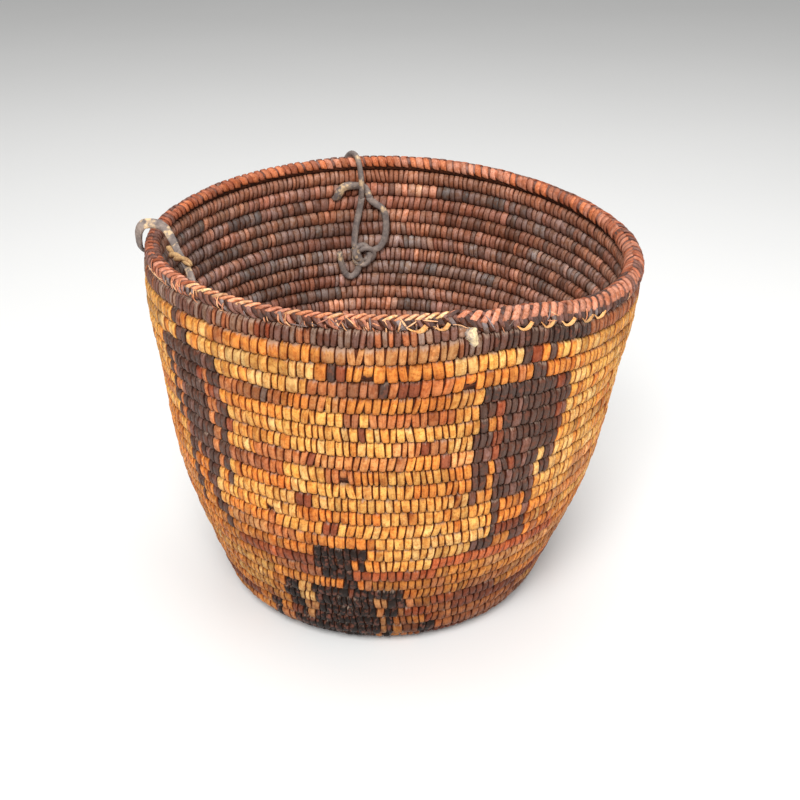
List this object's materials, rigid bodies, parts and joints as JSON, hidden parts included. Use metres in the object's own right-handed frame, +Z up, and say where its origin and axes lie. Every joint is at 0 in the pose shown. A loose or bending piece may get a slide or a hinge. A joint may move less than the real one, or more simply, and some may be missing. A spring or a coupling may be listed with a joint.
{
  "type": "coiled basket",
  "caption": "Round flaring basket wound from one sewn coil, with a flat base, a braided rim, dark stepped animal figures and small hide ties, for holding food or goods.",
  "frame": {"origin": "the middle of the flat underside of the base, on the surface that the basket stands on", "axes": "+Z up the basket's axis; -Y is the front, where the coil ends beside the worn front tie; the courses rise anticlockwise seen from above"},
  "size_m": [0.2032, 0.199, 0.1686],
  "materials": {
    "foundation_fibre": "dry bent fibres",
    "base_splints": "worn flat splints",
    "wall_splints": "smooth golden splints, satin",
    "dark_splints": "dark dyed splints",
    "rim_splints": "red-brown splints, satin",
    "hide": "dry grey-brown hide with pale wear",
    "pale_hide": "pale worn hide"
  },
  "bodies": {
    "basket": {"start_knot": "foundation_fibre", "base_coil": "base_splints", "wall_coil": "wall_splints", "rim_coil": "dark_splints", "rim_braid": "rim_splints", "left_strap": "hide", "rear_tie": "hide", "front_tie_stub": "pale_hide"},
    "hanging_thong": {"rear_tie_left_strand": "hide", "rear_tie_right_strand": "hide", "rear_tie_knot": "hide", "rear_tie_tail": "hide"}
  },
  "joints": [
    {"name": "rear_tie_swing", "type": "hinge", "parent": "basket", "child": "hanging_thong", "pos_m": [-0.00875, 0.0897, 0.14142], "axis": [-1, 0, 0], "range_deg": [0, 90]}
  ]
}
